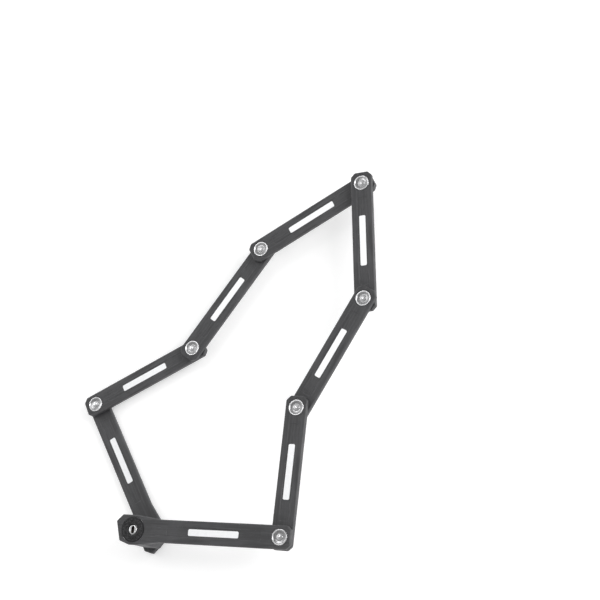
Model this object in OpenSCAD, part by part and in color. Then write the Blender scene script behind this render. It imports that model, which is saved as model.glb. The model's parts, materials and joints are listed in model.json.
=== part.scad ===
// Folding bicycle lock: eight riveted flat bars and a lock head, lying flat in a closed loop.
// Millimetres, +Z up. The origin is on the closing pivot's axis, at the lowest bar's underside.
// Bar 1 is the top bar and runs along +X. Each next bar lies one level lower.
// The bars lie loose in this pose: the lock's bolt is drawn up out of bar 8.

/* [Bars] */
// pivot to pivot length of the six middle bars
middle_length = 120; // [119:0.5:121]
// pivot to pivot length of the first and the last bar
end_length = 150; // [149:0.5:152]
// width of a bar over its plastic jacket
bar_width = 21.5; // [20.5:0.1:22]
// thickness of a bar over its jacket
bar_thickness = 5.1; // [5.1:0.1:5.3]
// gap between the jackets of two bars that lie on each other
bar_gap = 0.4; // [0.4:0.05:0.6]
// how far a bar runs on past its pivot
end_reach = 11.2; // [10.8:0.1:12]
// size of the 45 degree cut on a bar's corners
corner_cut = 4.2; // [3.5:0.1:4.8]
// bevel along the jacket's outer edges
edge_bevel = 0.8; // [0.4:0.05:0.9]
// wall of the plastic jacket over the steel core's faces
jacket_wall = 0.8; // [0.75:0.05:0.85]
// wall of the plastic jacket at the steel core's edges
jacket_side = 1.1; // [0.9:0.1:1.3]

/* [Panel and strip] */
// width of the sunk panel on a bar's top
panel_width = 9.6; // [8:0.2:11]
// length of the sunk panel on a middle bar
panel_middle_length = 90; // [70:1:94]
// length of the sunk panel on an end bar
panel_end_length = 96; // [70:1:98]
// distance from an end bar's riveted pivot to the middle of its panel
panel_offset = 66; // [64:0.5:68]
// depth of the panel
panel_depth = 0.2; // [0.1:0.05:0.25]
// length of the reflective strip
strip_length = 51.4; // [40:0.2:60]
// width of the reflective strip
strip_width = 6.4; // [5:0.1:7]
// thickness of the reflective strip
strip_thickness = 0.25; // [0.15:0.05:0.3]

/* [Rivets] */
// radius of a rivet's head
rivet_head_r = 7.5; // [7.2:0.1:7.6]
// radius of a rivet's shank
rivet_shank_r = 4.5; // [4:0.1:4.8]
// how far a rivet's head sinks into the core
rivet_sink = 0.9; // [0.7:0.05:1]
// how far a rivet's head stands above the core
rivet_proud = 0.65; // [0.5:0.05:0.7]
// radius of the round window in the jacket over a rivet
window_r = 8; // [8:0.1:8.4]

/* [Lock head] */
// width of the widened ends of bar 1 and bar 8
head_width = 28; // [27.8:0.1:28.4]
// how far the nose, the foremost corner of bar 1's widened end, runs on past the closing pivot
nose_reach = 18.7; // [18.2:0.1:19.2]
// how far the nose of bar 8's widened end runs on past the closing pivot
tail_reach = 17; // [16.5:0.1:17.5]
// how far a nose lies to one side of the pivot
nose_side = 7.6; // [7:0.1:8]
// how far the heel, the end's other corner, lies to the other side
heel_side = 10.6; // [10.4:0.1:10.8]
// how far the heel lies back from the nose
heel_back = 5.2; // [4.9:0.1:5.5]
// distance from the closing pivot to the end of the taper
taper_end = 29; // [26:0.5:32]
// how far the lock case is set in from the edge of bar 1's widened end
case_inset = 0.7; // [0.5:0.05:0.7]
// thickness of the case's plastic cover
case_wall = 1; // [0.8:0.05:1]
// radius of the guard disc round the keyway
guard_r = 11.8; // [11.4:0.1:11.8]
// radius of the plug's round face
plug_face_r = 4.1; // [3.8:0.1:4.3]
// width of the keyway
keyway_width = 2.2; // [1.6:0.1:2.4]
// length of the keyway
keyway_length = 5.8; // [4.8:0.1:6]
// travel of the bolt
bolt_travel = 4.6; // [4.4:0.05:4.65]
// radius of the bolt
bolt_r = 4.4; // [4.2:0.1:4.4]

/* [Pose of the loop] */
// bend from bar 1 to bar 2
bend_1 = 88.6; // [84:0.1:92]
// bend from bar 2 to bar 3
bend_2 = -26.3; // [-30:0.1:-22]
// bend from bar 3 to bar 4
bend_3 = 33.8; // [30:0.1:38]
// bend from bar 4 to bar 5
bend_4 = 115; // [111:0.1:119]
// bend from bar 5 to bar 6
bend_5 = 25; // [21:0.1:29]

/* [Hidden] */
$fn = 96;
bar_count = 8;
pitch = bar_thickness + bar_gap;
core_thickness = bar_thickness - 2 * jacket_wall;
top_z = (bar_count - 1) * pitch;
fixed_play = 0.02;
running_play = 0.06;
face_play = 0.05;
free_play = 0.3;
// the rivet's seat, cut into the core round the head
seat_r = rivet_head_r + 0.4;
washer_r = window_r - 0.4;
taper_start = 3;
heel_end = -3.5;
case_front = 14.4;

// heights in the lock head, from the underside of bar 8
case_bottom = pitch;
case_top = top_z;
core_1_bottom = top_z + jacket_wall;
core_1_top = core_1_bottom + core_thickness;
guard_sink = 1.6;
guard_boss_r = 10;
guard_ring_play = 0.6;
spigot_r = 10.5;
guard_bottom = core_1_top - guard_sink;
guard_top = top_z + bar_thickness - 0.1;
body_bottom = case_bottom + case_wall - 0.2;
bush_top = body_bottom + 3.2;
sleeve_bottom = bush_top + free_play;
sleeve_slot_top = bush_top + 10.2;
sleeve_cap_bottom = bush_top + 11.9;
sleeve_cap_top = sleeve_cap_bottom + 1.4;
barrel_bottom = sleeve_cap_top;
barrel_top = guard_bottom - 0.1;
pin_z = sleeve_slot_top - 1.5;
bolt_tip = case_bottom + free_play;
bolt_end = sleeve_cap_bottom - 0.4;

barrel_r = 6.5;
barrel_bore_r = 5.6;
shell_r = 8.8;
sleeve_r = 6.5;
sleeve_bore_r = bolt_r + 0.35;
body_bore_r = 6.9;
pin_r = 1.1;
pin_half = 8.3;
bush_r = 6.4;
bolt_hole_r = bolt_r + 0.5;
disc_count = 8;
disc_thickness = 1.2;
spacer_thickness = 0.7;
disc_bottom = sleeve_cap_top + 2;
sidebar_bottom = disc_bottom + 0.5;
sidebar_top = barrel_top - 2.5;
screw_at = 8.6;
screw_r = 1;
screw_head_r = 1.5;
screw_head = 1.2;
screw_length = 9;
slot_angle = 34;
key_angle = 90;

// headings of the bars, and the pivots they join
head_1 = 0;
head_2 = head_1 + bend_1;
head_3 = head_2 + bend_2;
head_4 = head_3 + bend_3;
head_5 = head_4 + bend_4;
head_6 = head_5 + bend_5;
function along(a, l) = [l * cos(a), l * sin(a)];
pivot_0 = [0, 0];
pivot_1 = pivot_0 + along(head_1, end_length);
pivot_2 = pivot_1 + along(head_2, middle_length);
pivot_3 = pivot_2 + along(head_3, middle_length);
pivot_4 = pivot_3 + along(head_4, middle_length);
pivot_5 = pivot_4 + along(head_5, middle_length);
pivot_6 = pivot_5 + along(head_6, middle_length);
// bars 7 and 8 close the loop: pivot 7 is where their two circles meet on the outer side
closing = pivot_0 - pivot_6;
closing_length = norm(closing);
closing_part = (pow(middle_length, 2) - pow(end_length, 2) + pow(closing_length, 2)) / (2 * closing_length);
closing_side = sqrt(pow(middle_length, 2) - pow(closing_part, 2));
closing_unit = closing / closing_length;
pivot_7 = pivot_6 + closing_part * closing_unit + closing_side * [closing_unit[1], -closing_unit[0]];
pivots = [pivot_0, pivot_1, pivot_2, pivot_3, pivot_4, pivot_5, pivot_6, pivot_7, pivot_0];

function heading(k) = atan2(pivots[k][1] - pivots[k - 1][1], pivots[k][0] - pivots[k - 1][0]);
function bar_length(k) = (k == 1 || k == bar_count) ? end_length : middle_length;
function level(k) = (bar_count - k) * pitch;

// an outline with every side moved in by i; outlines run counterclockwise
function inset(points, i) =
    let(count = len(points))
    [for (n = [0 : count - 1])
        let(a = points[(n + count - 1) % count], b = points[n], c = points[(n + 1) % count])
        let(u = (b - a) / norm(b - a), v = (c - b) / norm(c - b))
        let(m = [-u[1] - v[1], u[0] + v[0]])
        b + m * (2 * i / (m * m))];

// the riveted end of a bar, with its rivet at x
function bar_end(x) =
    let(w = bar_width / 2, e = x + end_reach, c = corner_cut)
    [[e - c, -w], [e, c - w], [e, w - c], [e - c, w]];

// an outline turned end for end, so that its other pivot, at x, comes to the origin
function turned(points, x) = [for (p = points) [x - p[0], -p[1]]];

// the two sides of the taper from a widened end down to a bar's width
function taper(side) = [[taper_start, side * head_width / 2], [taper_end, side * bar_width / 2]];

// the corners round a widened end, which is at the origin and reaches past it: nose, heel and a last corner
function widened(reach) = [[-reach, nose_side], [heel_back - reach, -heel_side], [heel_end, -head_width / 2]];
function last_corner(reach) = [head_width / 2 - nose_side - reach, head_width / 2];

outline_first = concat(widened(nose_reach), taper(-1), bar_end(end_length),
    [taper(1)[1], taper(1)[0], last_corner(nose_reach)]);
outline_middle = concat(turned(bar_end(0), 0), bar_end(middle_length));
outline_last = turned(concat(widened(tail_reach), taper(-1), bar_end(end_length),
    [taper(1)[1], taper(1)[0], last_corner(tail_reach)]), end_length);

// bar k's outline in its own frame, with its first pivot at the origin and its second on +X
function outline(k) = k == 1 ? outline_first : k == bar_count ? outline_last : outline_middle;

// the lock case's outline: it follows bar 1's widened end, and is cut off square towards the bar
case_side = head_width / 2;
case_outline = inset(concat(widened(nose_reach), [
    [case_front - 3, -case_side],
    [case_front, 4.5 - case_side],
    [case_front, case_side - 4.5],
    [case_front - 3, case_side],
    last_corner(nose_reach),
]), case_inset);

// x positions of a bar's riveted pivots, in its own frame
function riveted(k) = k == 1 ? [end_length] : k == bar_count ? [0] : [0, middle_length];
function panel_x(k) = k == 1 ? end_length - panel_offset : k == bar_count ? panel_offset : middle_length / 2;
function panel_length(k) = (k == 1 || k == bar_count) ? panel_end_length : panel_middle_length;

// puts a shape drawn in bar k's own frame in its place in the loop
module place(k) {
    translate([pivots[k - 1][0], pivots[k - 1][1], level(k)])
        rotate([0, 0, heading(k)])
            children();
}

module slab(points, z0, z1) {
    translate([0, 0, z0])
        linear_extrude(z1 - z0)
            polygon(points);
}

// wedges that bevel the top edges (up = 1) or the bottom edges (up = -1) of a slab with this outline
module edge_wedges(points, z, up, c) {
    count = len(points);
    for (n = [0 : count - 1]) {
        a = points[n];
        b = points[(n + 1) % count];
        d = b - a;
        turn = atan2(d[1], d[0]);
        translate([a[0], a[1], z])
            rotate([0, 0, turn])
                rotate([90, 0, 90])
                    translate([0, 0, -c])
                        linear_extrude(norm(d) + 2 * c)
                            polygon([[-c, up * c], [2 * c, up * c], [-c, -2 * up * c]]);
    }
}

module bevelled_slab(points, z0, z1, c) {
    difference() {
        slab(points, z0, z1);
        edge_wedges(points, z1, 1, c);
        edge_wedges(points, z0, -1, c);
    }
}

// a flat rectangle with cut corners, its middle at the origin
module tab(l, w, cut, z0, z1) {
    x = l / 2;
    y = w / 2;
    slab([[-x, cut - y], [cut - x, -y], [x - cut, -y], [x, cut - y],
          [x, y - cut], [x - cut, y], [cut - x, y], [-x, y - cut]], z0, z1);
}

module bore(r, z0, z1) {
    translate([0, 0, z0])
        cylinder(r = r, h = z1 - z0);
}

// places its children at the four screws
module at_screws() {
    for (x = [-screw_at, screw_at]) {
        for (y = [-screw_at, screw_at]) {
            translate([x, y, 0])
                children();
        }
    }
}

// the plastic jacket of bar k
module bar_jacket(k) {
    panel_floor = bar_thickness - panel_depth;
    difference() {
        bevelled_slab(outline(k), 0, bar_thickness, edge_bevel);
        slab(inset(outline(k), jacket_side), jacket_wall, bar_thickness - jacket_wall);
        for (x = riveted(k)) {
            translate([x, 0, 0])
                bore(window_r, -1, bar_thickness + 1);
        }
        translate([panel_x(k), 0, 0]) {
            tab(panel_length(k), panel_width, 1.5, panel_floor, bar_thickness + 1);
            tab(strip_length, strip_width, 0.8, panel_floor - strip_thickness, bar_thickness);
        }
        if (k == 1) {
            bore(guard_r + 0.4, bar_thickness / 2, bar_thickness + 1);
            bore(spigot_r + 0.2, -1, bar_thickness / 2);
            at_screws()
                bore(screw_r + 0.1, -1, bar_thickness / 2);
        }
        if (k == bar_count) {
            translate([end_length, 0, 0])
                bore(bolt_hole_r + 0.3, bar_thickness / 2, bar_thickness + 1);
        }
    }
}

// the steel core of bar k, with a seat for the rivet below at its first pivot and above at its second
module bar_core(k) {
    z0 = jacket_wall;
    z1 = bar_thickness - jacket_wall;
    difference() {
        slab(inset(outline(k), jacket_side), z0, z1);
        if (k > 1) {
            bore(rivet_shank_r + running_play, z0 - 1, z1 + 1);
            bore(seat_r, z0 - 1, z0 + rivet_sink);
        }
        if (k < bar_count) {
            translate([bar_length(k), 0, 0]) {
                bore(rivet_shank_r + fixed_play, z0 - 1, z1 + 1);
                bore(seat_r, z1 - rivet_sink, z1 + 1);
            }
        }
        if (k == 1) {
            bore(shell_r + fixed_play, z0 - 1, z1 + 1);
            bore(guard_boss_r + 0.1, z1 - guard_sink, z1 + 1);
            at_screws() {
                bore(screw_r + fixed_play, z0 - 1, z1 + 1);
                bore(screw_head_r + 0.05, z1 - screw_head, z1 + 1);
            }
        }
        if (k == bar_count) {
            translate([end_length, 0, 0])
                bore(bolt_hole_r, z0 - 1, z1 + 1);
        }
    }
}

// the reflective strip of bar k
module bar_strip(k) {
    panel_floor = bar_thickness - panel_depth;
    translate([panel_x(k), 0, 0])
        tab(strip_length - 0.1, strip_width - 0.1, 0.8, panel_floor - strip_thickness, panel_floor);
}

// half of a rivet head's section, from its middle out, with z measured from the core's face:
// a low boss in the middle of a dish, and a rim round it
rivet_face = [
    [0, rivet_proud - 0.15],
    [1.6, rivet_proud - 0.25],
    [2.7, rivet_proud - 0.5],
    [3.3, rivet_proud - 1],
    [5.6, rivet_proud - 0.65],
    [6.2, rivet_proud],
    [rivet_head_r - 0.3, rivet_proud],
    [rivet_head_r, rivet_proud - 0.3],
];

// the rivet that joins bar k to the bar below it, fixed in bar k
module bar_rivet(k) {
    z1 = bar_thickness - jacket_wall;
    z0 = jacket_wall - pitch;
    face_count = len(rivet_face);
    upper = [for (p = rivet_face) [p[0], z1 + p[1]]];
    lower = [for (n = [face_count - 1 : -1 : 0]) [rivet_face[n][0], z0 - rivet_face[n][1]]];
    shank = [
        [rivet_head_r, z1 - rivet_sink],
        [rivet_shank_r, z1 - rivet_sink],
        [rivet_shank_r, z0 + rivet_sink - face_play],
        [rivet_head_r, z0 + rivet_sink - face_play],
    ];
    translate([bar_length(k), 0, 0])
        rotate_extrude()
            polygon(concat(upper, shank, lower));
}

// the washer between bar k and the bar below it
module bar_washer(k) {
    translate([bar_length(k), 0, 0]) {
        difference() {
            bore(washer_r, face_play - bar_gap - jacket_wall, jacket_wall);
            bore(rivet_shank_r + 0.1, -pitch, bar_thickness);
        }
    }
}

module jacket_1() { color([0.09, 0.09, 0.1]) place(1) bar_jacket(1); }
module jacket_2() { color([0.09, 0.09, 0.1]) place(2) bar_jacket(2); }
module jacket_3() { color([0.09, 0.09, 0.1]) place(3) bar_jacket(3); }
module jacket_4() { color([0.09, 0.09, 0.1]) place(4) bar_jacket(4); }
module jacket_5() { color([0.09, 0.09, 0.1]) place(5) bar_jacket(5); }
module jacket_6() { color([0.09, 0.09, 0.1]) place(6) bar_jacket(6); }
module jacket_7() { color([0.09, 0.09, 0.1]) place(7) bar_jacket(7); }
module jacket_8() { color([0.09, 0.09, 0.1]) place(8) bar_jacket(8); }

module core_1() { color([0.2, 0.2, 0.21]) place(1) bar_core(1); }
module core_2() { color([0.2, 0.2, 0.21]) place(2) bar_core(2); }
module core_3() { color([0.2, 0.2, 0.21]) place(3) bar_core(3); }
module core_4() { color([0.2, 0.2, 0.21]) place(4) bar_core(4); }
module core_5() { color([0.2, 0.2, 0.21]) place(5) bar_core(5); }
module core_6() { color([0.2, 0.2, 0.21]) place(6) bar_core(6); }
module core_7() { color([0.2, 0.2, 0.21]) place(7) bar_core(7); }
module core_8() { color([0.2, 0.2, 0.21]) place(8) bar_core(8); }

module strip_1() { color([0.85, 0.86, 0.87]) place(1) bar_strip(1); }
module strip_2() { color([0.85, 0.86, 0.87]) place(2) bar_strip(2); }
module strip_3() { color([0.85, 0.86, 0.87]) place(3) bar_strip(3); }
module strip_4() { color([0.85, 0.86, 0.87]) place(4) bar_strip(4); }
module strip_5() { color([0.85, 0.86, 0.87]) place(5) bar_strip(5); }
module strip_6() { color([0.85, 0.86, 0.87]) place(6) bar_strip(6); }
module strip_7() { color([0.85, 0.86, 0.87]) place(7) bar_strip(7); }
module strip_8() { color([0.85, 0.86, 0.87]) place(8) bar_strip(8); }

module rivet_1() { color([0.8, 0.8, 0.82]) place(1) bar_rivet(1); }
module rivet_2() { color([0.8, 0.8, 0.82]) place(2) bar_rivet(2); }
module rivet_3() { color([0.8, 0.8, 0.82]) place(3) bar_rivet(3); }
module rivet_4() { color([0.8, 0.8, 0.82]) place(4) bar_rivet(4); }
module rivet_5() { color([0.8, 0.8, 0.82]) place(5) bar_rivet(5); }
module rivet_6() { color([0.8, 0.8, 0.82]) place(6) bar_rivet(6); }
module rivet_7() { color([0.8, 0.8, 0.82]) place(7) bar_rivet(7); }

module washer_1() { color([0.75, 0.74, 0.7]) place(1) bar_washer(1); }
module washer_2() { color([0.75, 0.74, 0.7]) place(2) bar_washer(2); }
module washer_3() { color([0.75, 0.74, 0.7]) place(3) bar_washer(3); }
module washer_4() { color([0.75, 0.74, 0.7]) place(4) bar_washer(4); }
module washer_5() { color([0.75, 0.74, 0.7]) place(5) bar_washer(5); }
module washer_6() { color([0.75, 0.74, 0.7]) place(6) bar_washer(6); }
module washer_7() { color([0.75, 0.74, 0.7]) place(7) bar_washer(7); }

// the plastic cover round the lock body, open at the top, with a hole for the bolt
module case_cover() {
    color([0.2, 0.2, 0.21])
    difference() {
        bevelled_slab(case_outline, case_bottom, case_top, 0.4);
        slab(inset(case_outline, case_wall), body_bottom, case_top + 1);
        bore(bolt_hole_r, case_bottom - 1, body_bottom + 1);
    }
}

// the cast lock body, bored from above for the cylinder and from below for the bush
module lock_body() {
    color([0.5, 0.5, 0.52])
    difference() {
        union() {
            slab(inset(case_outline, case_wall + 0.05), body_bottom, case_top);
            bore(spigot_r, case_top - 1, core_1_bottom);
        }
        bore(bush_r + fixed_play, body_bottom - 1, bush_top);
        bore(body_bore_r, bush_top - 1, barrel_bottom);
        bore(shell_r + fixed_play, barrel_bottom, core_1_bottom + 1);
        // upright slots that stop the cross pin from turning
        translate([-pin_half - free_play, -pin_r - free_play, pin_z - bolt_travel - pin_r - free_play])
            cube([
                2 * (pin_half + free_play),
                2 * (pin_r + free_play),
                bolt_travel + 2 * (pin_r + free_play)
            ]);
        at_screws()
            bore(screw_r + fixed_play, case_top + screw_head_r - screw_length, core_1_bottom + 1);
    }
}

// the hardened bush that guides the bolt
module bolt_bush() {
    color([0.4, 0.4, 0.42])
    difference() {
        bore(bush_r, body_bottom, bush_top);
        bore(bolt_r + running_play, body_bottom - 1, bush_top + 1);
    }
}

// the four screws that hold bar 1's core on the lock body
module case_screws() {
    color([0.6, 0.6, 0.62])
    at_screws() {
        difference() {
            union() {
                bore(screw_head_r, core_1_top - screw_head, core_1_top - 0.05);
                bore(screw_r, core_1_top + 0.2 - screw_length, core_1_top - screw_head / 2);
            }
            translate([0, 0, core_1_top - 0.6])
                cylinder(r = 0.8, h = 1, $fn = 6);
        }
    }
}

// the guard disc round the plug's face: a boss sunk in bar 1's core, and a wide, stepped and grooved flange
module guard_disc() {
    ring_r = plug_face_r + guard_ring_play;
    flange = core_1_top + 0.05;
    color([0.12, 0.12, 0.13])
    rotate_extrude()
        polygon([
            [ring_r, guard_bottom],
            [guard_boss_r, guard_bottom],
            [guard_boss_r, flange],
            [guard_r, flange],
            [guard_r, flange + 0.2],
            [guard_r - 0.5, flange + 0.2],
            [guard_r - 0.5, guard_top - 0.2],
            [guard_r - 0.7, guard_top],
            [10.3, guard_top],
            [10.1, guard_top - 0.25],
            [9.7, guard_top - 0.25],
            [9.5, guard_top],
            [7.8, guard_top],
            [7.6, guard_top - 0.25],
            [7.2, guard_top - 0.25],
            [7, guard_top],
            [ring_r + 0.4, guard_top],
            [ring_r, guard_top - 0.4],
        ]);
}

// the shell that the barrel turns in, with the sidebar's groove a quarter turn round
module cylinder_shell() {
    color([0.72, 0.6, 0.32])
    difference() {
        bore(shell_r, barrel_bottom, guard_bottom);
        bore(barrel_r + running_play, barrel_bottom - 1, guard_bottom + 1);
        translate([-0.9, 0, sidebar_bottom - free_play])
            cube([1.8, barrel_r + 0.8, sidebar_top - sidebar_bottom + 2 * free_play]);
    }
}

// the turning barrel: its nose is the plug's face, and its bore holds the discs
module key_barrel() {
    color([0.82, 0.82, 0.84])
    difference() {
        union() {
            bore(barrel_r, barrel_bottom, barrel_top);
            bore(plug_face_r, barrel_top - 1, guard_top + 0.1);
        }
        bore(barrel_bore_r, barrel_bottom - 1, barrel_top - 1.5);
        translate([-keyway_width / 2, -keyway_length / 2, barrel_top - 2])
            cube([keyway_width, keyway_length, 5]);
        // the sidebar's slot, and notches for the sleeve's two tangs
        translate([barrel_bore_r - 1, -0.75, sidebar_bottom - 0.1])
            cube([3, 1.5, sidebar_top - sidebar_bottom + 0.2]);
        translate([-barrel_r - 1, -1.1, barrel_bottom - 1])
            cube([2 * barrel_r + 2, 2.2, 2.6]);
    }
}

// one thin disc of the barrel's pack, with a keyway and a notch for the sidebar
module pack_disc(z, thickness) {
    difference() {
        bore(barrel_bore_r - 0.1, z, z + thickness);
        translate([-keyway_width / 2, -keyway_length / 2, z - 1])
            cube([keyway_width, keyway_length, thickness + 2]);
        translate([4.8, -0.8, z - 1])
            cube([2, 1.6, thickness + 2]);
    }
}

// the coded discs
module detainer_discs() {
    color([0.75, 0.65, 0.35])
    for (n = [0 : disc_count - 1])
        pack_disc(disc_bottom + n * (disc_thickness + spacer_thickness), disc_thickness);
}

// the spacers between the coded discs
module disc_spacers() {
    color([0.6, 0.6, 0.62])
    for (n = [0 : disc_count - 2])
        pack_disc(disc_bottom + disc_thickness + n * (disc_thickness + spacer_thickness), spacer_thickness);
}

// the sidebar, drawn in flush with the barrel
module sidebar() {
    color([0.65, 0.65, 0.67])
    translate([4.9, -0.7, sidebar_bottom])
        cube([1.4, 1.4, sidebar_top - sidebar_bottom]);
}

// the sleeve under the barrel: two sloping slots in its wall drive the cross pin
module cam_sleeve() {
    slot_bottom = pin_z - bolt_travel - 1.5;
    slot_height = sleeve_slot_top - slot_bottom;
    slot_twist = key_angle * slot_height / bolt_travel;
    reach = sleeve_r + 3;
    start = -key_angle * (pin_z - slot_bottom) / bolt_travel;
    color([0.55, 0.55, 0.58])
    difference() {
        union() {
            bore(sleeve_r, sleeve_bottom, sleeve_cap_top);
            bore(barrel_bore_r - 0.05, sleeve_cap_top - 1, disc_bottom - 0.1);
            intersection() {
                translate([-sleeve_r, -1, sleeve_cap_top - 1])
                    cube([2 * sleeve_r, 2, 2.5]);
                bore(sleeve_r, sleeve_cap_top - 1, sleeve_cap_top + 2);
            }
        }
        bore(sleeve_bore_r, sleeve_bottom - 1, sleeve_cap_bottom);
        for (side = [0, 180]) {
            translate([0, 0, slot_bottom])
                rotate([0, 0, start + side])
                    linear_extrude(slot_height, twist = -slot_twist, slices = 20, $fn = 8)
                        polygon([
                            [0, 0],
                            along(-slot_angle, reach),
                            along(0, reach),
                            along(slot_angle, reach)
                        ]);
        }
    }
}

// the bolt, drawn up clear of bar 8
module bolt() {
    color([0.7, 0.7, 0.72])
    difference() {
        rotate_extrude()
            polygon([
                [0, bolt_tip],
                [bolt_r - 0.8, bolt_tip],
                [bolt_r, bolt_tip + 0.8],
                [bolt_r, bolt_end - 0.4],
                [bolt_r - 0.4, bolt_end],
                [0, bolt_end],
            ]);
        translate([-bolt_r - 1, 0, pin_z])
            rotate([0, 90, 0])
                cylinder(r = pin_r + fixed_play, h = 2 * bolt_r + 2);
    }
}

// the pin across the bolt, in the sleeve's sloping slots and the body's upright slots
module cross_pin() {
    color([0.68, 0.68, 0.7])
    translate([-pin_half, 0, pin_z])
        rotate([0, 90, 0])
            cylinder(r = pin_r, h = 2 * pin_half);
}

jacket_1();
core_1();
strip_1();
rivet_1();
washer_1();
case_cover();
lock_body();
case_screws();
guard_disc();
cylinder_shell();
bolt_bush();
key_barrel();
detainer_discs();
disc_spacers();
sidebar();
cam_sleeve();
bolt();
cross_pin();
jacket_2();
core_2();
strip_2();
rivet_2();
washer_2();
jacket_3();
core_3();
strip_3();
rivet_3();
washer_3();
jacket_4();
core_4();
strip_4();
rivet_4();
washer_4();
jacket_5();
core_5();
strip_5();
rivet_5();
washer_5();
jacket_6();
core_6();
strip_6();
rivet_6();
washer_6();
jacket_7();
core_7();
strip_7();
rivet_7();
washer_7();
jacket_8();
core_8();
strip_8();
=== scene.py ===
"""The looks of the folding lock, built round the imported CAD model.

Moulded jackets, film strips, turned rivets and the lock head's outer pieces replace their CAD nodes. The
rest keep their CAD shapes and get procedural materials.
"""

import json
import math

import bmesh
import bpy
from mathutils import Matrix, Vector


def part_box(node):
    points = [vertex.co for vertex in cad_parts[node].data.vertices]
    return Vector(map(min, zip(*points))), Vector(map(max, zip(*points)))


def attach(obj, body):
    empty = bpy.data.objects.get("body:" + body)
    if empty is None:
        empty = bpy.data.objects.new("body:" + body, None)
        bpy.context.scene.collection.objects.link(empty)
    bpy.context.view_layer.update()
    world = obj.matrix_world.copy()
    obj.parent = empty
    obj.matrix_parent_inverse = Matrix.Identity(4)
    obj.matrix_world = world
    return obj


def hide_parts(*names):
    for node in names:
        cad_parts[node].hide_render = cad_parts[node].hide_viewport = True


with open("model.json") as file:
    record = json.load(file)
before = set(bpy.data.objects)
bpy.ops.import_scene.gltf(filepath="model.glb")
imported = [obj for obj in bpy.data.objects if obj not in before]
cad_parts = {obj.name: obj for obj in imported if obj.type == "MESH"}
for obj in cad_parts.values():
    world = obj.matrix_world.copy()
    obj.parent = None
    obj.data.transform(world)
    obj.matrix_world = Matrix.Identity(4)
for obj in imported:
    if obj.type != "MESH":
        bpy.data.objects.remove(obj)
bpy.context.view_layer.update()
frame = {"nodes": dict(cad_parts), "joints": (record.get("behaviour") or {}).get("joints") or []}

MM = 0.001
BARS = 8

# sizes in millimetres, as in the CAD, but EDGE and PANEL_DEPTH are a little larger here

# a bar: its outside, the jacket over its core's faces and sides, and its plain ends past their pivots
BAR_W, BAR_T = 21.5, 5.1
WALL, SIDE = 0.8, 1.1
REACH, CUT = 11.2, 4.2
EDGE = 0.95

# the widened end of bar 1, the head, and of bar 8, the tail, with its corners from the pivot
HEAD_W, TAPER_START, TAPER_END = 28.0, 3.0, 29.0
NOSE_REACH, TAIL_REACH, NOSE_SIDE = 18.7, 17.0, 7.6
HEEL_SIDE, HEEL_BACK, HEEL_END = 10.6, 5.2, -3.5

# the sunk panel on each bar, and the strip in it
PANEL_L, END_PANEL_L, PANEL_W, PANEL_DEPTH = 90.0, 96.0, 9.6, 0.28
END_PANEL_X = 66.0
STRIP_L, STRIP_W, STRIP_DEPTH = 51.4, 6.4, 0.25

# the rivets, and the jackets' windows round their heads
WINDOW_R, RIVET_R, SHANK_R = 8.0, 7.5, 4.5
HEAD_DEPTH, TAIL_DEPTH = 0.9, 0.85

# the case cover
CASE_FRONT, CASE_SLOPE, CASE_CUT = 14.4, 3.0, 4.5
CASE_INSET, CASE_WALL, CASE_FLOOR = 0.7, 1.0, 0.8
SPIGOT_R, BOLT_HOLE_R = 10.5, 4.9

# the guard disc, and the barrel with its keyway and its driving notch
GUARD_R, GUARD_BOSS_R, GUARD_HOLE_R, GUARD_PLAY = 11.8, 10.0, 4.7, 0.4
BARREL_R, BARREL_BORE, PLUG_R = 6.5, 5.6, 4.1
KEYWAY_L, KEYWAY_W = 5.8, 2.2
NOTCH_L, NOTCH_W, NOTCH_DEPTH = 15.0, 2.2, 1.6

# a fillet takes up to this share of a corner's shorter side, and a corner whose half turn is under
# SLIGHT_TURN radians gets one WIDER times as long
SIDE_SHARE, SLIGHT_TURN, WIDER = 0.45, 0.1, 4

FLOOR_HALF = 6000.0

# the camera, in metres and degrees, with its sensor and lens in millimetres
CAMERA_PLACE = (0.5855, -0.0983, 1.0778)
CAMERA_TURN = (17.93, 21.36, 5.27)
SENSOR, LENS = 36.0, 73.89

turns = {j["name"]: Vector(j["pos_m"]) for j in frame["joints"] if j["name"].startswith("rivet")}
PIVOTS = [Vector((0, 0, 0))] + [turns[f"rivet_{k}_turn"] for k in range(1, BARS)] + [Vector((0, 0, 0))]


def bar_length(k):
    """Pivot to pivot length of bar k, in millimetres."""
    a, b = PIVOTS[k - 1].to_2d(), PIVOTS[k].to_2d()
    return (b - a).length / MM


def bar_matrix(k):
    """Bar k's own frame: its first pivot at the origin, +X along the bar, z = 0 at its underside."""
    a, b = PIVOTS[k - 1], PIVOTS[k]
    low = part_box(f"jacket_{k}")[0].z
    heading = math.atan2(b.y - a.y, b.x - a.x)
    return Matrix.Translation((a.x, a.y, low)) @ Matrix.Rotation(heading, 4, "Z")


# ---------------------------------------------------------------- outlines


def bar_end(x):
    """The four corners of a plain end whose pivot is at x."""
    w, e, c = BAR_W / 2, x + REACH, CUT
    return [(e - c, -w), (e, c - w), (e, w - c), (e - c, w)]


def turned(points, x):
    """The points turned half round, with the origin going to x."""
    return [(x - a, -b) for a, b in points]


HALF = HEAD_W / 2
LOW_TAPER = [(TAPER_START, -HALF), (TAPER_END, -BAR_W / 2)]
HIGH_TAPER = [(TAPER_END, BAR_W / 2), (TAPER_START, HALF)]
CASE = [
    (CASE_FRONT - CASE_SLOPE, -HALF), (CASE_FRONT, CASE_CUT - HALF),
    (CASE_FRONT, HALF - CASE_CUT), (CASE_FRONT - CASE_SLOPE, HALF),
]


def widened(reach):
    """The first corners round a widened end that reaches past its pivot: nose and heel."""
    return [(-reach, NOSE_SIDE), (HEEL_BACK - reach, -HEEL_SIDE), (HEEL_END, -HALF)]


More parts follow.
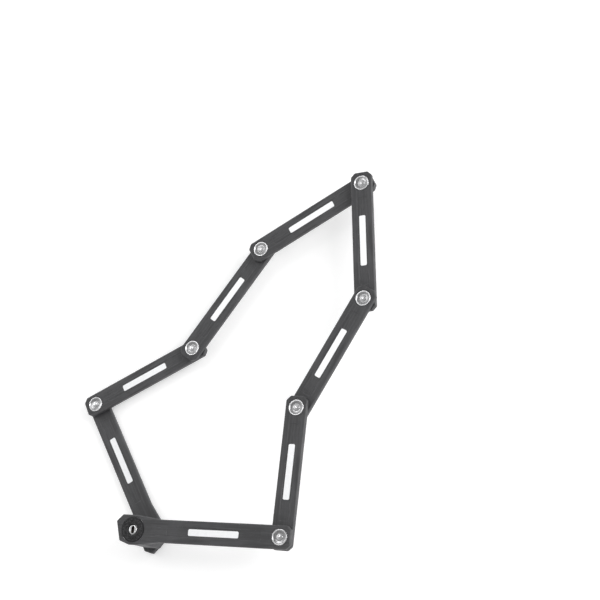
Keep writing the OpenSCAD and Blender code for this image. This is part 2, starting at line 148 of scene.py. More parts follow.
def last_corner(reach):
    """The corner that closes a widened end's outline, cut at 45 degrees from the nose."""
    return [(HALF - NOSE_SIDE - reach, HALF)]


def outline(k):
    """Bar k's outline with sharp corners, counterclockwise, in its own frame."""
    length = bar_length(k)
    if 1 < k < BARS:
        return turned(bar_end(0), 0) + bar_end(length)
    reach = NOSE_REACH if k == 1 else TAIL_REACH
    points = widened(reach) + LOW_TAPER + bar_end(length) + HIGH_TAPER + last_corner(reach)
    return points if k == 1 else turned(points, length)


def rectangle(length, width, x=0.0):
    """A rectangle centred on (x, 0), with its length along X."""
    a, b = length / 2, width / 2
    return [(x - a, -b), (x + a, -b), (x + a, b), (x - a, b)]


def filleted(points, radius, steps=5):
    """The outline with each corner rounded as far as its sides leave room, and slight ones wider."""
    out = []
    count = len(points)
    for n in range(count):
        a, b, c = (Vector(points[(n + d) % count]) for d in (-1, 0, 1))
        u, v = (a - b), (c - b)
        room = min(u.length, v.length) * SIDE_SHARE
        u.normalize()
        v.normalize()
        half_turn = (math.pi - u.angle(v)) / 2
        reach = min(radius * math.tan(half_turn) * (WIDER if half_turn < SLIGHT_TURN else 1), room)
        p, q = b + u * reach, b + v * reach
        for i in range(steps + 1):
            t = i / steps
            out.append(p * (1 - t) ** 2 + b * 2 * t * (1 - t) + q * t**2)
    return out


def offset(points, inset):
    """Each point moved inwards, so that the sides come in by inset."""
    if not inset:
        return list(points)
    out = []
    count = len(points)
    for n in range(count):
        a, b, c = points[n - 1], points[n], points[(n + 1) % count]
        e, f = (b - a).normalized(), (c - b).normalized()
        side = Vector((-e.y, e.x)) + Vector((-f.y, f.x))
        out.append(b + side * (2 * inset / side.length_squared))
    return out


# ---------------------------------------------------------------- meshes


def new_object(name, bm):
    """A mesh object in metres, from a bmesh in millimetres."""
    bmesh.ops.recalc_face_normals(bm, faces=bm.faces)
    mesh = bpy.data.meshes.new(name)
    bm.to_mesh(mesh)
    bm.free()
    mesh.transform(Matrix.Scale(MM, 4))
    obj = bpy.data.objects.new(name, mesh)
    bpy.context.scene.collection.objects.link(obj)
    return obj


def stack(name, points, levels):
    """A closed solid from one outline at several heights: levels are (z, inset) from the bottom up."""
    bm = bmesh.new()
    rings = [[bm.verts.new((p.x, p.y, z)) for p in offset(points, inset)] for z, inset in levels]
    count = len(points)
    for low, high in zip(rings, rings[1:]):
        for n in range(count):
            m = (n + 1) % count
            bm.faces.new((low[n], low[m], high[m], high[n]))
    bm.faces.new(rings[0][::-1])
    bm.faces.new(rings[-1])
    return new_object(name, bm)


def bevelled_levels(z0, z1, c):
    """Levels for stack() that bevel both edges by c at 45 degrees, with softened corners."""
    low = [(0.0, c * 1.05), (0.06 * c, 0.9 * c), (0.85 * c, 0.1 * c), (1.15 * c, 0.0)]
    return [(z0 + z, i) for z, i in low] + [(z1 - z, i) for z, i in reversed(low)]


def rounded_levels(z0, z1, r, steps=4):
    """Levels for stack() that round both edges with radius r."""
    turn = [math.radians(90 * i / steps) for i in range(steps + 1)]
    low = [(z0 + r * (1 - math.cos(a)), r * (1 - math.sin(a))) for a in turn]
    return low + [(z0 + z1 - z, i) for z, i in reversed(low)]


def lathe(name, profile, segments=96, ring=False):
    """A solid of revolution about Z, from (r, z) points. A ring's profile is a closed loop off the axis."""
    bm = bmesh.new()
    rows = []
    for r, z in profile:
        if r < 1e-6:
            rows.append([bm.verts.new((0, 0, z))])
        else:
            angles = [2 * math.pi * n / segments for n in range(segments)]
            rows.append([bm.verts.new((r * math.cos(a), r * math.sin(a), z)) for a in angles])
    pairs = list(zip(rows, rows[1:])) + ([(rows[-1], rows[0])] if ring else [])
    for a, b in pairs:
        for n in range(segments if len(a) + len(b) > 2 else 0):
            m = (n + 1) % segments
            corners = [a[n % len(a)], a[m % len(a)], b[m % len(b)], b[n % len(b)]]
            bm.faces.new(list(dict.fromkeys(corners)))
    return new_object(name, bm)


def arc(cr, cz, radius, start, end, steps=4):
    """Points on an arc in a lathe's section, angles in degrees from +r towards +z."""
    angles = [math.radians(start + (end - start) * i / steps) for i in range(steps + 1)]
    return [(cr + radius * math.cos(a), cz + radius * math.sin(a)) for a in angles]


def cut(obj, *cutters):
    """Takes the cutters out of obj, and clears zero-area faces."""
    for c in cutters:
        m = obj.modifiers.new("cut", "BOOLEAN")
        m.operation, m.solver, m.object = "DIFFERENCE", "EXACT", c
    bpy.context.view_layer.update()
    made = bpy.data.meshes.new_from_object(obj.evaluated_get(bpy.context.evaluated_depsgraph_get()))
    obj.modifiers.clear()
    old = obj.data
    obj.data = made
    bpy.data.meshes.remove(old)
    bm = bmesh.new()
    bm.from_mesh(made)
    bmesh.ops.dissolve_degenerate(bm, dist=1e-6, edges=bm.edges)
    bm.to_mesh(made)
    bm.free()
    made.name = obj.name
    for c in cutters:
        mesh = c.data
        bpy.data.objects.remove(c)
        bpy.data.meshes.remove(mesh)
    return obj


def smooth(obj, angle=40):
    """Smooth shading broken at sharp edges, with flat faces kept flat."""
    obj.data.shade_smooth()
    obj.data.set_sharp_from_angle(angle=math.radians(angle))
    m = obj.modifiers.new("normals", "WEIGHTED_NORMAL")
    m.keep_sharp, m.weight = True, 90
    return obj


def finish_piece(obj, matrix, body, nodes, material):
    """Puts a piece in place, ties it to its body and its material, and hides the CAD nodes it stands for.
    """
    obj.matrix_world = matrix
    obj.data.materials.clear()
    obj.data.materials.append(material)
    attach(obj, body)
    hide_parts(*nodes)


# ---------------------------------------------------------------- materials


class Nodes:
    """A short way to build one material's nodes."""

    def __init__(self, name):
        self.material = bpy.data.materials.new(name)
        self.material.use_nodes = True
        self.tree = self.material.node_tree
        self.shader = self.tree.nodes["Principled BSDF"]
        self.place = self.add("ShaderNodeTexCoord").outputs["Object"]

    def add(self, kind, **settings):
        node = self.tree.nodes.new(kind)
        for key, value in settings.items():
            setattr(node, key, value)
        return node

    def link(self, value, socket):
        if isinstance(value, bpy.types.NodeSocket):
            self.tree.links.new(value, socket)
        else:
            socket.default_value = value

    def stretched(self, x=1.0, y=1.0, z=1.0):
        """Object coordinates scaled per axis."""
        node = self.add("ShaderNodeMapping")
        node.inputs["Scale"].default_value = (x, y, z)
        self.link(self.place, node.inputs["Vector"])
        return node.outputs["Vector"]

    def noise(self, scale, detail=3.0, rough=0.5, vector=None, distortion=0.0):
        node = self.add("ShaderNodeTexNoise")
        self.link(vector or self.place, node.inputs["Vector"])
        node.inputs["Scale"].default_value = scale
        node.inputs["Detail"].default_value = detail
        node.inputs["Roughness"].default_value = rough
        node.inputs["Distortion"].default_value = distortion
        return node.outputs["Fac"]

    def cells(self, scale, vector=None, randomness=1.0):
        node = self.add("ShaderNodeTexVoronoi")
        self.link(vector or self.place, node.inputs["Vector"])
        node.inputs["Scale"].default_value = scale
        node.inputs["Randomness"].default_value = randomness
        return node.outputs["Distance"]

    def math(self, operation, a, b=0.0, c=0.0, clamp=False):
        node = self.add("ShaderNodeMath", operation=operation, use_clamp=clamp)
        for value, socket in zip((a, b, c), node.inputs):
            self.link(value, socket)
        return node.outputs[0]

    def range(self, value, low, high, to_low=0.0, to_high=1.0):
        """value's range low to high, smoothly, as to_low to to_high."""
        node = self.add("ShaderNodeMapRange", interpolation_type="SMOOTHSTEP")
        self.link(value, node.inputs["Value"])
        limits = {"From Min": low, "From Max": high, "To Min": to_low, "To Max": to_high}
        for key, number in limits.items():
            self.link(number, node.inputs[key])
        return node.outputs["Result"]

    def mix(self, amount, a, b):
        """Colour a where amount is 0, and b where it is 1."""
        node = self.add("ShaderNodeMix", data_type="RGBA")
        self.link(amount, node.inputs["Factor"])
        sockets = [s for s in node.inputs if s.type == "RGBA"]
        for value, socket in zip((a, b), sockets):
            self.link(value if isinstance(value, bpy.types.NodeSocket) else (*value, 1.0), socket)
        return [s for s in node.outputs if s.type == "RGBA"][0]

    def bump(self, height, strength, distance, normal=None):
        node = self.add("ShaderNodeBump")
        node.inputs["Strength"].default_value = strength
        node.inputs["Distance"].default_value = distance
        self.link(height, node.inputs["Height"])
        if normal:
            self.link(normal, node.inputs["Normal"])
        return node.outputs["Normal"]

    def edges(self, radius):
        """1 on sharp outer edges and 0 on flats."""
        bevel = self.add("ShaderNodeBevel", samples=6)
        bevel.inputs["Radius"].default_value = radius
        geometry = self.add("ShaderNodeNewGeometry")
        dot = self.add("ShaderNodeVectorMath", operation="DOT_PRODUCT")
        self.link(bevel.outputs["Normal"], dot.inputs[0])
        self.link(geometry.outputs["Normal"], dot.inputs[1])
        return self.range(self.math("SUBTRACT", 1.0, dot.outputs["Value"]), 0.01, 0.12)

    def radius(self):
        """Distance from the piece's Z axis, in metres."""
        split = self.add("ShaderNodeSeparateXYZ")
        self.link(self.place, split.inputs[0])
        x, y = split.outputs[0], split.outputs[1]
        square = self.math("ADD", self.math("MULTIPLY", x, x), self.math("MULTIPLY", y, y))
        return self.math("SQRT", square)

    def surface(self, color, roughness, normal=None, metallic=0.0, **more):
        """Sets the shader's sockets and gives back the material. more names constant sockets."""
        shader = self.shader
        if isinstance(color, bpy.types.NodeSocket):
            self.link(color, shader.inputs["Base Color"])
        else:
            shader.inputs["Base Color"].default_value = (*color, 1.0)
        self.link(roughness, shader.inputs["Roughness"])
        shader.inputs["Metallic"].default_value = metallic
        if normal:
            self.link(normal, shader.inputs["Normal"])
        for key, value in more.items():
            shader.inputs[key.replace("_", " ")].default_value = value
        return self.material


def moulded_plastic(name, dark, light, wear_and_highlight_colour, rough=(0.42, 0.56), grain=0.5):
    """Satin moulded plastic: fine grain, faint streaks along the bar, rubbed edges lightened partly as wear
    and partly as painted edge highlights, and light scratches.
    """
    n = Nodes(name)
    cloud = n.noise(38, 3, 0.6)
    speck = n.noise(2600, 2, 0.5)
    streak = n.noise(420, 3, 0.6, n.stretched(0.05, 1.0, 1.0))
    tone = n.math("ADD", n.math("MULTIPLY", cloud, 0.3), n.math("MULTIPLY", speck, 0.2))
    tone = n.math("ADD", tone, n.math("MULTIPLY", streak, 0.5))
    body = n.mix(n.range(tone, 0.4, 0.6), dark, light)
    patchy = n.range(n.noise(230, 4, 0.65), 0.42, 0.66)
    # edges are lightened towards the wear colour, partly as rubbed wear and partly as painted highlights on
    # the edges
    edge_wear_and_highlight = n.math("MULTIPLY", n.edges(0.0005), patchy)
    scratch = n.noise(420, 2, 0.4, n.stretched(0.12, 3.2, 1.0), 0.6)
    lines = n.math("MULTIPLY", n.range(scratch, 0.665, 0.70), n.range(n.noise(60, 2), 0.45, 0.6))
    wear_and_highlight = n.math("MAXIMUM", n.math("MULTIPLY", edge_wear_and_highlight, 0.55), n.math("MULTIPLY", lines, 0.28), clamp=True)
    color = n.mix(wear_and_highlight, body, wear_and_highlight_colour)
    shine = n.range(n.noise(95, 4, 0.6), 0.3, 0.7, *rough)
    shine = n.math("SUBTRACT", shine, n.math("MULTIPLY", edge_wear_and_highlight, 0.1))
    grains = n.cells(3400)
    fine = n.bump(grains, grain, 0.00003)
    flow = n.bump(n.noise(70, 2, 0.5, n.stretched(0.35, 1.6, 1.0)), 0.25, 0.00025, fine)
    normal = n.bump(lines, 0.3, 0.00002, flow)
    return n.surface(color, shine, normal, Specular_IOR_Level=0.4)


def turned_steel(name, color, dark, ring_pitch=0.00022, rough=(0.2, 0.28), recess_shade_strength=0.55, dish=0.0):
    """Turned steel: fine tool rings round the axis, small scratches, painted shade in the recesses (darker
    and a little rougher where ambient occlusion finds them), and painted shade in the dish where dish is
    set.
    """
    n = Nodes(name)
    r = n.radius()
    wobble = n.math("MULTIPLY", n.noise(900, 2), ring_pitch * 0.7)
    phase = n.math("DIVIDE", n.math("ADD", r, wobble), ring_pitch / (2 * math.pi))
    rings = n.math("MULTIPLY_ADD", n.math("SINE", phase), 0.5, 0.5)
    cloud = n.noise(420, 4, 0.62)
    smudge = n.range(n.noise(170, 3, 0.6), 0.4, 0.68)
    # painted shade: recesses that ambient occlusion finds are darkened towards dark, and made a little
    # rougher
    occlusion = n.add("ShaderNodeAmbientOcclusion", samples=16, only_local=True)
    occlusion.inputs["Distance"].default_value = 0.0008
    crevice = n.range(occlusion.outputs["AO"], 0.4, 0.85, 1.0, 0.0)
    recess_shade = n.math("MULTIPLY", crevice, recess_shade_strength, clamp=True)
    base = n.mix(n.math("MULTIPLY", n.range(cloud, 0.4, 0.7), 0.3), color, tuple(0.9 * c for c in color))
    # painted shade: from the boss's edge out to the rim, over the recessed dish, the colour is darkened by
    # dish towards 0.45 of itself
    ring = n.math("MULTIPLY", n.range(r, 0.0024, 0.003), n.range(r, 0.0062, 0.0066, 1.0, 0.0))
    base = n.mix(n.math("MULTIPLY", ring, dish), base, tuple(0.45 * c for c in color))
    shade = n.mix(recess_shade, base, dark)
    scratch = n.noise(1500, 2, 0.4, n.stretched(0.25, 2.2, 1.0), 0.8)
    marks = n.range(scratch, 0.66, 0.72)
    shine = n.range(cloud, 0.3, 0.7, *rough)
    shine = n.math("ADD", shine, n.math("MULTIPLY", smudge, 0.05))
    shine = n.math("ADD", shine, n.math("MULTIPLY", recess_shade, 0.3), clamp=True)
    normal = n.bump(rings, 0.07, 0.00001)
    normal = n.bump(marks, 0.03, 0.00001, normal)
    return n.surface(shade, shine, normal, metallic=1.0)


def brushed_metal(name, color, dark, rough=(0.28, 0.42), tint=None):
    """Ground or rolled metal: a grain along X and stains, with edges rubbed to tint where there is one."""
    n = Nodes(name)
    grain = n.noise(1900, 3, 0.6, n.stretched(0.08, 2.5, 1.0))
    stain = n.range(n.noise(120, 4, 0.65), 0.45, 0.75)
    base = n.mix(n.range(grain, 0.35, 0.65), tuple(0.86 * c for c in color), color)
    base = n.mix(n.math("MULTIPLY", stain, 0.4), base, dark)
    shine = n.range(grain, 0.3, 0.7, *rough)
    shine = n.math("ADD", shine, n.math("MULTIPLY", stain, 0.14), clamp=True)
    if tint:
        base = n.mix(n.math("MULTIPLY", n.edges(0.0004), 0.6), base, tint)
    return n.surface(base, shine, n.bump(grain, 0.25, 0.00001), metallic=1.0)


def cast_metal(name, color, dark):
    """Die-cast metal: a pebbled skin with dull patches."""
    n = Nodes(name)
    cloud = n.noise(160, 4, 0.6)
    pebble = n.noise(1700, 3, 0.6)
    base = n.mix(n.range(cloud, 0.35, 0.65), dark, color)
    shine = n.range(pebble, 0.3, 0.7, 0.42, 0.6)
    return n.surface(base, shine, n.bump(pebble, 0.5, 0.00004), metallic=1.0)


def reflective_film(name):
    """White reflective film: rows of tiny prism cells under a clear skin, with faint clouds and scuffs."""
    n = Nodes(name)
    prism = n.cells(1350, n.stretched(1.0, 1.0, 0.0), 0.12)
    cloud = n.noise(140, 3, 0.6)
    scuff = n.range(n.noise(700, 3, 0.5, n.stretched(0.3, 2.0, 1.0), 0.5), 0.62, 0.7)
    cell = n.range(prism, 0.15, 0.75)
    base = n.mix(cell, (0.93, 0.935, 0.94), (0.82, 0.83, 0.85))
    base = n.mix(n.math("MULTIPLY", n.range(cloud, 0.45, 0.75), 0.25), base, (0.78, 0.78, 0.78))
    base = n.mix(n.math("MULTIPLY", scuff, 0.25), base, (0.6, 0.6, 0.6))
    shine = n.range(cloud, 0.3, 0.7, 0.22, 0.36)
    shine = n.math("ADD", shine, n.math("MULTIPLY", scuff, 0.3), clamp=True)
    normal = n.bump(prism, 0.25, 0.00004)
    return n.surface(base, shine, normal, Coat_Weight=0.4, Coat_Roughness=0.15)


def blackened_steel(name):
    """Black oxide steel, turned, with ring grooves whose rims are rubbed bright, partly as wear and partly
    as painted highlights, and painted shade, almost black, in gaps and recesses.
    """
    n = Nodes(name)
    r = n.radius()
    wobble = n.math("MULTIPLY", n.noise(800, 2), 0.0001)
    phase = n.math("DIVIDE", n.math("ADD", r, wobble), 0.00028 / (2 * math.pi))
    rings = n.math("MULTIPLY_ADD", n.math("SINE", phase), 0.5, 0.5)
    cloud = n.noise(300, 4, 0.6)
    patchy = n.range(n.noise(500, 3, 0.6), 0.4, 0.62)
    # rims and edges are lightened partly as rubbed wear and partly as painted highlights on the groove rims
    edge_wear_and_highlight = n.math("MULTIPLY", n.edges(0.0003), patchy)
    base = n.mix(n.range(cloud, 0.35, 0.65), (0.009, 0.009, 0.01), (0.016, 0.016, 0.0175))
    base = n.mix(n.math("MULTIPLY", rings, 0.2), base, (0.04, 0.04, 0.042))
    base = n.mix(n.math("MULTIPLY", edge_wear_and_highlight, 0.6), base, (0.3, 0.3, 0.31))
    # painted shade: gaps and recesses that ambient occlusion finds are darkened almost to black
    occlusion = n.add("ShaderNodeAmbientOcclusion", samples=16)
    occlusion.inputs["Distance"].default_value = 0.0009
    base = n.mix(n.range(occlusion.outputs["AO"], 0.35, 0.8, 1.0, 0.0), base, (0.003, 0.003, 0.003))
    shine = n.range(cloud, 0.3, 0.7, 0.34, 0.48)
    normal = n.bump(rings, 0.35, 0.000015)
    return n.surface(base, shine, normal, Specular_IOR_Level=0.3)


def nylon(name):
    """Natural nylon: milky, slightly uneven, with a faint moulded skin."""
    n = Nodes(name)
    cloud = n.noise(260, 3, 0.6)
    base = n.mix(n.range(cloud, 0.35, 0.65), (0.62, 0.6, 0.54), (0.74, 0.72, 0.66))
    shine = n.range(n.noise(600, 3), 0.3, 0.7, 0.4, 0.55)
    return n.surface(base, shine, n.bump(n.noise(1800, 2), 0.3, 0.00002), Subsurface_Weight=0.15)


JACKET = moulded_plastic(
    "jacket_plastic", dark=(0.038, 0.038, 0.04), light=(0.061, 0.061, 0.064), wear_and_highlight_colour=(0.18, 0.18, 0.185)
)
SHELL = moulded_plastic(
    "case_plastic", dark=(0.055, 0.055, 0.058), light=(0.08, 0.08, 0.084), wear_and_highlight_colour=(0.24, 0.24, 0.24),
    rough=(0.45, 0.6), grain=0.8,
)
# the rivets get painted shade in their dish (dish=0.8); the plug's 0.7 is the strength of its painted
# recess shade, which darkens its keyway
RIVET = turned_steel("rivet_steel", (0.7, 0.7, 0.71), (0.06, 0.058, 0.055), dish=0.8)
PLUG = turned_steel("plug_steel", (0.84, 0.84, 0.85), (0.06, 0.06, 0.06), 0.00016, (0.14, 0.26), 0.7)
CORE = brushed_metal("core_steel", (0.11, 0.11, 0.115), (0.05, 0.05, 0.05), (0.4, 0.55))
HARDWARE = brushed_metal(
    "hardware_steel", (0.62, 0.62, 0.64), (0.2, 0.19, 0.18), tint=(0.85, 0.85, 0.86)
)
BOLT = turned_steel("bolt_steel", (0.72, 0.72, 0.74), (0.12, 0.12, 0.12), 0.0003, (0.2, 0.32))
BRASS = brushed_metal("brass", (0.72, 0.54, 0.24), (0.3, 0.2, 0.08), (0.25, 0.38))
BODY = cast_metal("cast_body", (0.5, 0.5, 0.52), (0.36, 0.36, 0.38))
FILM = reflective_film("reflective_film")
GUARD = blackened_steel("guard_steel")
NYLON = nylon("washer_nylon")

# ---------------------------------------------------------------- bars


def window_cutter(name, x, r, z0, z1, rim=0.3):
    """A round cutter from z0 to z1 whose ends flare, so that it leaves rounded rims on both faces."""
    low = arc(r + rim, z0 + rim, rim, 270, 180)
    high = arc(r + rim, z1 - rim, rim, 180, 90)
    profile = [(0, z0 - 1), (r + rim, z0 - 1)] + low + high + [(r + rim, z1 + 1), (0, z1 + 1)]
    cutter = lathe(name, profile, 80)
    cutter.matrix_world = Matrix.Translation((x * MM, 0, 0))
    return cutter


def half_cutter(name, r, z0, z1, rim=0.25):
    """A round cutter that leaves a rounded rim at its top, z1, only."""
    profile = [(0, z0), (r, z0)] + arc(r + rim, z1 - rim, rim, 180, 90)
    return lathe(name, profile + [(r + rim, z1 + 1), (0, z1 + 1)], 96)


def make_jacket(k):
    """Bar k's jacket with its windows and its sunk panel, and the film strip in the panel."""
    length = bar_length(k)
    name = f"bar_jacket_{k}"
    end_bar = k in (1, BARS)
    shell = stack(name, filleted(outline(k), 1.6 if end_bar else 2.4), bevelled_levels(0, BAR_T, EDGE))
    pocket = offset([Vector(p) for p in outline(k)], SIDE)
    cutters = [stack("pocket", filleted(pocket, 1.2, 2), [(WALL, 0), (BAR_T - WALL, 0)])]
    for x in {1: [length], BARS: [0.0]}.get(k, [0.0, length]):
        cutters.append(window_cutter("window", x, WINDOW_R, 0, BAR_T))
    middle = {1: length - END_PANEL_X, BARS: END_PANEL_X}.get(k, length / 2)
    panel = filleted(rectangle(END_PANEL_L if end_bar else PANEL_L, PANEL_W, middle), 2.2)
    floor = BAR_T - PANEL_DEPTH
    sloped = [(floor, 0.45), (floor + 0.04, 0.3), (BAR_T - 0.02, 0.02), (BAR_T + 1, 0)]
    cutters.append(stack("panel", panel, sloped))
    recess = filleted(rectangle(STRIP_L + 0.3, STRIP_W + 0.3, middle), 1.7)
    cutters.append(stack("recess", recess, [(floor - STRIP_DEPTH, 0), (BAR_T, 0)]))
    if k == 1:
        cutters.append(half_cutter("guard_window", GUARD_R + GUARD_PLAY, BAR_T / 2, BAR_T))
        under_r = SPIGOT_R + 0.2
        cutters.append(lathe("under_window", [(0, -1), (under_r, -1), (under_r, 2), (0, 2)]))
    if k == BARS:
        hole = half_cutter("bolt_window", BOLT_HOLE_R + 0.3, BAR_T / 2, BAR_T)
        hole.matrix_world = Matrix.Translation((length * MM, 0, 0))
        cutters.append(hole)
    smooth(cut(shell, *cutters))
    finish_piece(shell, bar_matrix(k), f"bar_{k}", [f"jacket_{k}"], JACKET)

    film = filleted(rectangle(STRIP_L - 0.2, STRIP_W - 0.2, middle), 1.5)
    levels = [(floor - STRIP_DEPTH, 0), (floor - 0.05, 0), (floor - 0.01, 0.03), (floor, 0.09)]
    strip = smooth(stack(f"bar_strip_{k}", film, levels))
    finish_piece(strip, bar_matrix(k), f"bar_{k}", [f"strip_{k}"], FILM)


def rivet_section():
    """The rivet head's section from the axis out, with z from the core's face: boss, dish and rim."""
    boss = [(r, 0.52 - 0.062 * r * r) for r in (0, 0.5, 1.0, 1.5, 2.0, 2.4)]
    boss += arc(2.55, -0.15, 0.32, 65, 10, 4) + arc(3.15, -0.25, 0.1, 190, 270, 2)
    dish = [(3.6, -0.34), (4.6, -0.22), (5.6, -0.06), (6.1, 0.04)]
    rim = arc(6.72, 0.45, 0.2, 165, 90, 3) + arc(RIVET_R - 0.4, 0.25, 0.4, 90, 0, 5)
    return boss + dish + [(6.25, 0.1)] + rim


def make_rivet(k):
    """A headed rivet through bar k and the bar below it."""
    pitch = (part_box("jacket_1")[0].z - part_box("jacket_2")[0].z) / MM
    top, bottom = BAR_T - WALL, WALL - pitch
    face = rivet_section()
    profile = [(r, top + z) for r, z in face]
    profile += [(RIVET_R, top - HEAD_DEPTH), (SHANK_R, top - HEAD_DEPTH)]
    profile += [(SHANK_R, bottom + TAIL_DEPTH), (RIVET_R, bottom + TAIL_DEPTH)]
    profile += [(r, bottom - z) for r, z in reversed(face)]
    rivet = lathe(f"rivet_head_{k}", profile, 96)
    smooth(rivet, 50)
    spot = Matrix.Translation((PIVOTS[k].x, PIVOTS[k].y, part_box(f"jacket_{k}")[0].z))
    turn = Matrix.Rotation(math.radians(47 * k), 4, "Z")
    finish_piece(rivet, spot @ turn, f"bar_{k}", [f"rivet_{k}"], RIVET)


# ---------------------------------------------------------------- lock head


def make_case():
    """The case cover, open at its top, with a seam groove round its foot and the bolt's hole."""
    low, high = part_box("case_cover")
    z0, z1 = low.z / MM, high.z / MM
    sides = [Vector(p) for p in widened(NOSE_REACH) + CASE + last_corner(NOSE_REACH)]
    shape = filleted(offset(sides, CASE_INSET), 1.4)
    shell = stack("case_shell", shape, rounded_levels(z0, z1, 0.45))
    inside = filleted(offset(sides, CASE_INSET + CASE_WALL), 0.5, 2)
    pocket = stack("case_pocket", inside, [(z0 + CASE_FLOOR, 0), (z1 + 1, 0)])
    hole = window_cutter("case_hole", 0, BOLT_HOLE_R, z0, z0 + CASE_FLOOR, 0.25)
    groove = stack("seam", shape, [(z0 + 2.6, -1), (z0 + 3.0, -1)])
    kept = stack("seam_core", shape, [(z0 + 2, 0.22), (z0 + 4, 0.22)])
    cut(groove, kept)
    smooth(cut(shell, pocket, hole, groove))
    finish_piece(shell, Matrix.Identity(4), "bar_1", ["case_cover"], SHELL)


def make_guard():
    """The guard disc: a boss, a stepped flange, and ring grooves round the plug's hole."""
    low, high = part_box("guard_disc")
    z0, z1 = low.z / MM, high.z / MM

    def groove(r, width, depth=0.3):
        a, b = r + width / 2, r - width / 2
        return [(a + 0.2, z1), (a, z1 - depth), (b, z1 - depth), (b - 0.2, z1)]

    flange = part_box("core_1")[1].z / MM + 0.05
    lip = GUARD_R - 0.45
    profile = [(GUARD_HOLE_R, z0), (GUARD_BOSS_R, z0), (GUARD_BOSS_R, flange), (GUARD_R, flange)]
    profile += [(GUARD_R, flange + 0.1), (lip, flange + 0.15)] + arc(lip - 0.2, z1 - 0.2, 0.2, 0, 90)
    for r in (9.9, 8.6, 7.4):
        profile += groove(r, 0.35)
    profile += [(6.3, z1)] + arc(5.9, z1, 0.12, 0, -90, 2)
    profile += arc(GUARD_HOLE_R + 0.3, z1 - 0.44, 0.3, 90, 180, 3)
    guard = smooth(lathe("guard_plate", profile, 128, ring=True), 35)
    finish_piece(guard, Matrix.Identity(4), "bar_1", ["guard_disc"], GUARD)


def make_barrel():
    """The turning barrel with the plug's face and keyway, hollow for its discs."""
    low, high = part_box("key_barrel")
    z0, z1 = low.z / MM, high.z / MM
    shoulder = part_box("guard_disc")[0].z / MM - 0.1
    profile = [(BARREL_BORE, z0), (BARREL_R, z0), (BARREL_R, shoulder - 0.2)]
    profile += [(BARREL_R - 0.2, shoulder), (PLUG_R, shoulder)]
    profile += arc(PLUG_R - 0.35, z1 - 0.35, 0.35, 0, 90) + [(3.3, z1), (3.15, z1 - 0.12), (0, z1 - 0.12)]
    profile += [(0, shoulder - 1.5), (BARREL_BORE, shoulder - 1.5)]
    barrel = lathe("plug_barrel", profile, 96, ring=True)
    flare = [(shoulder - 3, 0), (z1 - 2.4, 0), (z1 - 0.7, -0.4), (z1, -0.5), (z1 + 1, -0.5)]
    mouth = stack("mouth", filleted(rectangle(KEYWAY_W, KEYWAY_L), 0.7, 4), flare)
    slot_low, slot_high = (corner.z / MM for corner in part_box("sidebar"))
    slot_levels = [(slot_low - 0.2, 0), (slot_high + 0.1, 0)]
    slot = stack("sidebar_slot", filleted(rectangle(3, 1.5, 6.1), 0.05, 1), slot_levels)
    notch_levels = [(z0 - 1, 0), (z0 + NOTCH_DEPTH, 0)]
    notch = stack("notch", filleted(rectangle(NOTCH_L, NOTCH_W), 0.05, 1), notch_levels)
    smooth(cut(barrel, mouth, slot, notch), 35)
    finish_piece(barrel, Matrix.Identity(4), "barrel_unit", ["key_barrel"], PLUG)


for number in range(1, BARS + 1):
    make_jacket(number)
for number in range(1, BARS):
    make_rivet(number)
make_case()
make_guard()
make_barrel()

# CAD nodes that keep their own shape
KEPT = {
    "core": CORE, "washer": NYLON, "lock_body": BODY, "case_screws": HARDWARE, "cylinder_shell": BRASS,
    "bolt_bush": HARDWARE, "detainer_discs": BRASS, "disc_spacers": HARDWARE, "sidebar": HARDWARE,
    "cam_sleeve": HARDWARE, "bolt": BOLT, "cross_pin": HARDWARE,
}
for name, obj in frame["nodes"].items():
    material = KEPT.get(name) or KEPT.get(name.split("_")[0])
    if material:
        for place in obj.material_slots:
            place.material = material

# ---------------------------------------------------------------- floor, light and camera


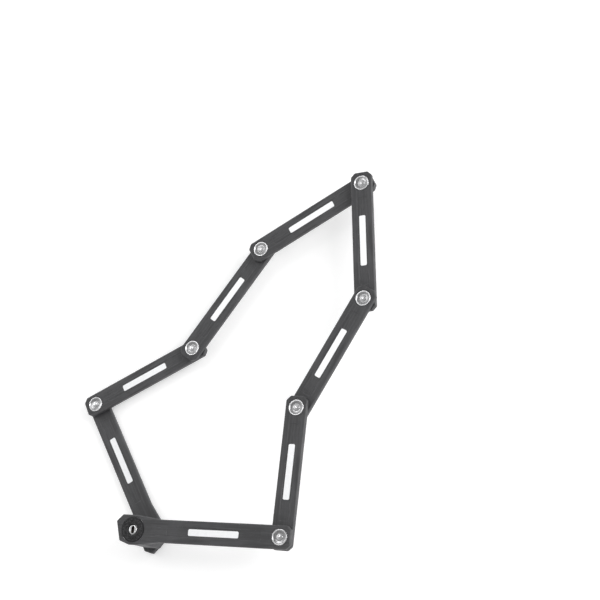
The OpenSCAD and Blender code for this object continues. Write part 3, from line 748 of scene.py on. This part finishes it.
def pale_floor():
    """A plain pale floor just under the lock, with a faint glow that keeps it white in soft shade."""
    bm = bmesh.new()
    bmesh.ops.create_grid(bm, x_segments=1, y_segments=1, size=FLOOR_HALF)
    floor = new_object("floor", bm)
    floor.location = (0.06, 0.16, -0.0002)
    n = Nodes("floor_paint")
    cloud = n.noise(2.0, 3, 0.5)
    base = n.mix(cloud, (0.86, 0.86, 0.86), (0.89, 0.89, 0.89))
    n.shader.inputs["Emission Color"].default_value = (1, 1, 1, 1)
    floor.data.materials.append(n.surface(base, 0.85, Specular_IOR_Level=0.2, Emission_Strength=0.3))


def soft_light(name, position, target, size, power):
    """A round soft light aimed at target, with its size in metres and its power in watts."""
    light = bpy.data.lights.new(name, "AREA")
    light.shape, light.size, light.energy = "DISK", size, power
    obj = bpy.data.objects.new(name, light)
    bpy.context.scene.collection.objects.link(obj)
    way = Vector(target) - Vector(position)
    obj.matrix_world = Matrix.Translation(position) @ way.to_track_quat("-Z", "Y").to_matrix().to_4x4()


def camera():
    """The camera at the picture's viewing angle."""
    data = bpy.data.cameras.new("camera")
    data.sensor_width, data.lens = SENSOR, LENS
    data.clip_start, data.clip_end = 0.02, 60
    obj = bpy.data.objects.new("camera", data)
    bpy.context.scene.collection.objects.link(obj)
    obj.location = CAMERA_PLACE
    obj.rotation_euler = [math.radians(angle) for angle in CAMERA_TURN]
    bpy.context.scene.camera = obj


def light_tent(overhead, horizon):
    """White light from all round, at one strength at the horizon and another overhead."""
    world = bpy.data.worlds.new("studio")
    world.use_nodes = True
    tree = world.node_tree
    way = tree.nodes.new("ShaderNodeTexCoord")
    split = tree.nodes.new("ShaderNodeSeparateXYZ")
    height = tree.nodes.new("ShaderNodeMapRange")
    limits = {"From Min": 0.0, "From Max": 0.9, "To Min": horizon, "To Max": overhead}
    for key, number in limits.items():
        height.inputs[key].default_value = number
    background = tree.nodes["Background"]
    background.inputs["Color"].default_value = (1, 1, 1, 1)
    tree.links.new(way.outputs["Generated"], split.inputs[0])
    tree.links.new(split.outputs["Z"], height.inputs["Value"])
    tree.links.new(height.outputs["Result"], background.inputs["Strength"])
    bpy.context.scene.world = world


pale_floor()
middle = (0.06, 0.16, 0.02)
soft_light("key", (2.2, 0.85, 1.05), middle, 1.5, 36)
soft_light("left", (-2.2, 0.9, 1.1), middle, 1.4, 10)
soft_light("overhead", (-2.18, 1.81, 5.35), middle, 1.6, 22)
light_tent(0.4, 1.6)
camera()
bpy.context.scene.view_settings.view_transform = "Standard"
